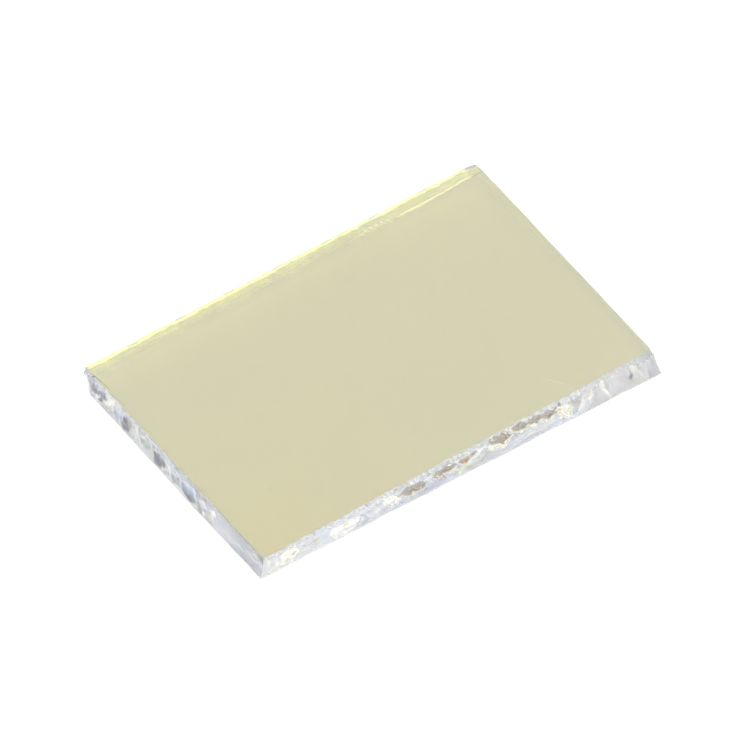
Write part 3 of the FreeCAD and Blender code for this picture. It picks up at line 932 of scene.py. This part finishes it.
def addScratch(tree, colour):
    # a hairline laid on the X axis, then turned and moved into place: 1 - |y| / width, between its two ends
    scratch = coating["scratch"]
    x, y = scratch["centre"]
    turn = addNode(tree, "ShaderNodeMapping",
                   {"Vector": tree.nodes.new("ShaderNodeTexCoord").outputs["Object"],
                    "Location": (x * mm, y * mm, 0), "Rotation": (0, 0, math.radians(scratch["angle"]))},
                   vector_type="TEXTURE")
    parts = addNode(tree, "ShaderNodeSeparateXYZ", {0: turn.outputs[0]})
    masks = []
    for axis, reach in (("X", scratch["halfLength"]), ("Y", scratch["halfWidth"])):
        away = calculate(tree, "ABSOLUTE", parts.outputs[axis])
        mask = addNode(tree, "ShaderNodeMapRange",
                       {"Value": away, "From Max": reach * mm, "To Min": 1.0, "To Max": 0.0})
        masks.append(mask.outputs["Result"])
    share = calculate(tree, "MULTIPLY", calculate(tree, "MULTIPLY", *masks), scratch["strength"])
    scratched = addNode(tree, "ShaderNodeMix", {"Factor": share, "A": colour, "B": (1, 1, 1, 1)},
                        data_type="RGBA")
    return scratched.outputs["Result"]


def coatedMaterial():
    material, tree, shader = newGlass("coatedFace", coating["tint"], 0.0)
    film = addNode(tree, "ShaderNodeAttribute", {}, attribute_name="filmColourAndPaintedGlow").outputs
    addMarks(tree, shader, addScratch(tree, film["Color"]), coating["marks"])
    # painted light: the film's own emission where the glow is painted
    light = addNode(tree, "ShaderNodeMix",
                    {"Factor": film["Alpha"], "A": (0, 0, 0, 1), "B": (*paintedGlow["light"], 1)}, data_type="RGBA")
    feed(tree, shader, {"Emission Color": light.outputs["Result"], "Emission Strength": 1.0,
                        "Thin Film Thickness": coating["filmThickness"], "Thin Film IOR": coating["filmIor"]})
    return material


def brokenMaterial():
    smoothest, roughest = broken["roughness"]
    material, tree, shader = newGlass("brokenEdge", broken["tint"], smoothest)
    # painted light and shade of the break, lightened and darkened along the hackle lines
    tint = addNode(tree, "ShaderNodeAttribute", {}, attribute_name="edgePaintedLightAndFrost").outputs
    hackle = placeGroup(tree, hackleGroup(), broken["hackle"])
    shaded = addNode(tree, "ShaderNodeMix", {"Factor": 1.0, "A": tint["Color"], "B": hackle["Shade"]},
                     data_type="RGBA", blend_type="MULTIPLY", clamp_result=True)
    softness = addNode(tree, "ShaderNodeMapRange",
                       {"Value": hackle["Height"], "To Min": smoothest, "To Max": roughest})
    frosting = addNode(tree, "ShaderNodeMix", {"Factor": tint["Alpha"], "A": softness.outputs["Result"],
                                               "B": broken["frostRoughness"]})
    bump = addNode(tree, "ShaderNodeBump", {"Strength": broken["hackleStrength"], "Height": hackle["Height"],
                                            "Distance": broken["hackleHeight"] * mm})
    feed(tree, shader, {"Base Color": shaded.outputs["Result"], "Roughness": frosting.outputs["Result"],
                        "Normal": bump.outputs["Normal"], "Coat Weight": broken["coat"],
                        "Coat Roughness": 0.0})
    return material


def polishedMaterial():
    material, tree, shader = newGlass("polishedFace", polished["tint"], 0.0)
    addMarks(tree, shader, (*polished["tint"], 1), polished["marks"])
    return material


# Studio

studio = {
    "floorReach": 1.5,         # metres
    "floorGap": 0.00002,       # air between plate and floor, in metres
    "floorColour": 0.90,
    "floorLift": 0.30,         # light of its own that the floor shows to the eye and through glass
    "wallColour": (1.08, 1.08, 1.11),
    "sweepColour": (1.10, 1.10, 1.10),
    "sweepSpan": (0.10, 0.28), # heights on the unit sphere between which the sweep turns into the walls
    # soft lamps: (direction, inner and outer angle in degrees, light added)
    "softLamps": [
        ((-0.25, -0.3, 1.0), 14, 30, 0.6),
        ((-0.9, 0.5, 0.5), 15, 30, 0.5),
    ],
    "bounces": 32,             # light runs along inside the plate from wall to wall
}


def buildFloor():
    reach = studio["floorReach"]
    z = -studio["floorGap"]
    mesh = bpy.data.meshes.new("floor")
    mesh.from_pydata([(-reach, -reach, z), (reach, -reach, z), (reach, reach, z), (-reach, reach, z)], [],
                     [(0, 1, 2, 3)])
    floor = bpy.data.objects.new("floor", mesh)
    bpy.context.scene.collection.objects.link(floor)
    material = bpy.data.materials.new("floor")
    material.use_nodes = True
    tree = material.node_tree
    tree.nodes.clear()
    diffuse = addNode(tree, "ShaderNodeBsdfDiffuse", {"Color": (studio["floorColour"],) * 3 + (1,)})
    rays = tree.nodes.new("ShaderNodeLightPath").outputs
    seen = calculate(tree, "MAXIMUM", rays["Is Camera Ray"], rays["Is Glossy Ray"])
    seen = calculate(tree, "MAXIMUM", seen, rays["Is Transmission Ray"])
    lifted = calculate(tree, "MULTIPLY", seen, studio["floorLift"])
    lift = addNode(tree, "ShaderNodeEmission", {"Strength": lifted})
    both = addNode(tree, "ShaderNodeAddShader", {0: diffuse.outputs[0], 1: lift.outputs[0]})
    addNode(tree, "ShaderNodeOutputMaterial", {"Surface": both.outputs[0]})
    mesh.materials.append(material)


def buildWorld():
    world = bpy.data.worlds.new("studio")
    bpy.context.scene.world = world
    world.use_nodes = True
    tree = world.node_tree
    tree.nodes.clear()
    direction = tree.nodes.new("ShaderNodeTexCoord").outputs["Generated"]
    parts = addNode(tree, "ShaderNodeSeparateXYZ", {0: direction})
    low, high = studio["sweepSpan"]
    sweep = addNode(tree, "ShaderNodeMapRange",
                    {"Value": parts.outputs["Z"], "From Min": low, "From Max": high},
                    interpolation_type="SMOOTHSTEP")
    walls = addNode(tree, "ShaderNodeMix",
                    {"Factor": sweep.outputs["Result"], "A": (*studio["sweepColour"], 1),
                     "B": (*studio["wallColour"], 1)}, data_type="RGBA")
    light = walls.outputs["Result"]
    for axis, inner, outer, strength in studio["softLamps"]:
        facing = addNode(tree, "ShaderNodeVectorMath", {0: direction, 1: Vector(axis).normalized()},
                         operation="DOT_PRODUCT")
        lamp = addNode(tree, "ShaderNodeMapRange",
                       {"Value": facing.outputs["Value"], "From Min": math.cos(math.radians(outer)),
                        "From Max": math.cos(math.radians(inner)), "To Max": strength},
                       interpolation_type="SMOOTHSTEP")
        added = addNode(tree, "ShaderNodeVectorMath", {0: light, 1: lamp.outputs["Result"]}, operation="ADD")
        light = added.outputs["Vector"]
    background = addNode(tree, "ShaderNodeBackground", {"Color": light})
    addNode(tree, "ShaderNodeOutputWorld", {"Surface": background.outputs[0]})


photograph = {
    "azimuth": -35.047,        # degrees, as the elevation
    "elevation": 48.084,
    "distance": 2.0,           # metres
    "lens": 998.109,           # millimetres, as the sensor
    "sensor": 36,
    "clipStart": 0.01,
    "target": (0.000109, -0.000921, 0.0015),
}


def buildCamera():
    azimuth = math.radians(photograph["azimuth"])
    elevation = math.radians(photograph["elevation"])
    back = Vector((math.sin(azimuth) * math.cos(elevation), -math.cos(azimuth) * math.cos(elevation),
                   math.sin(elevation)))
    data = bpy.data.cameras.new("camera")
    data.lens = photograph["lens"]
    data.sensor_width = photograph["sensor"]
    data.clip_start = photograph["clipStart"]
    camera = bpy.data.objects.new("camera", data)
    camera.location = Vector(photograph["target"]) + back * photograph["distance"]
    camera.rotation_mode = "QUATERNION"
    camera.rotation_quaternion = (-back).to_track_quat("-Z", "Y")
    bpy.context.scene.collection.objects.link(camera)
    bpy.context.scene.camera = camera


plateObject = buildPlate()
for material in (coatedMaterial(), brokenMaterial(), polishedMaterial()):
    plateObject.data.materials.append(material)
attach(plateObject, "root")
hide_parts("beamsplitter_plate")
print("materials made")

buildFloor()
buildWorld()
buildCamera()
cycles = bpy.context.scene.cycles
cycles.max_bounces = studio["bounces"]
cycles.glossy_bounces = studio["bounces"]
cycles.transmission_bounces = studio["bounces"]
bpy.context.scene.view_settings.view_transform = "Standard"
print("studio built")
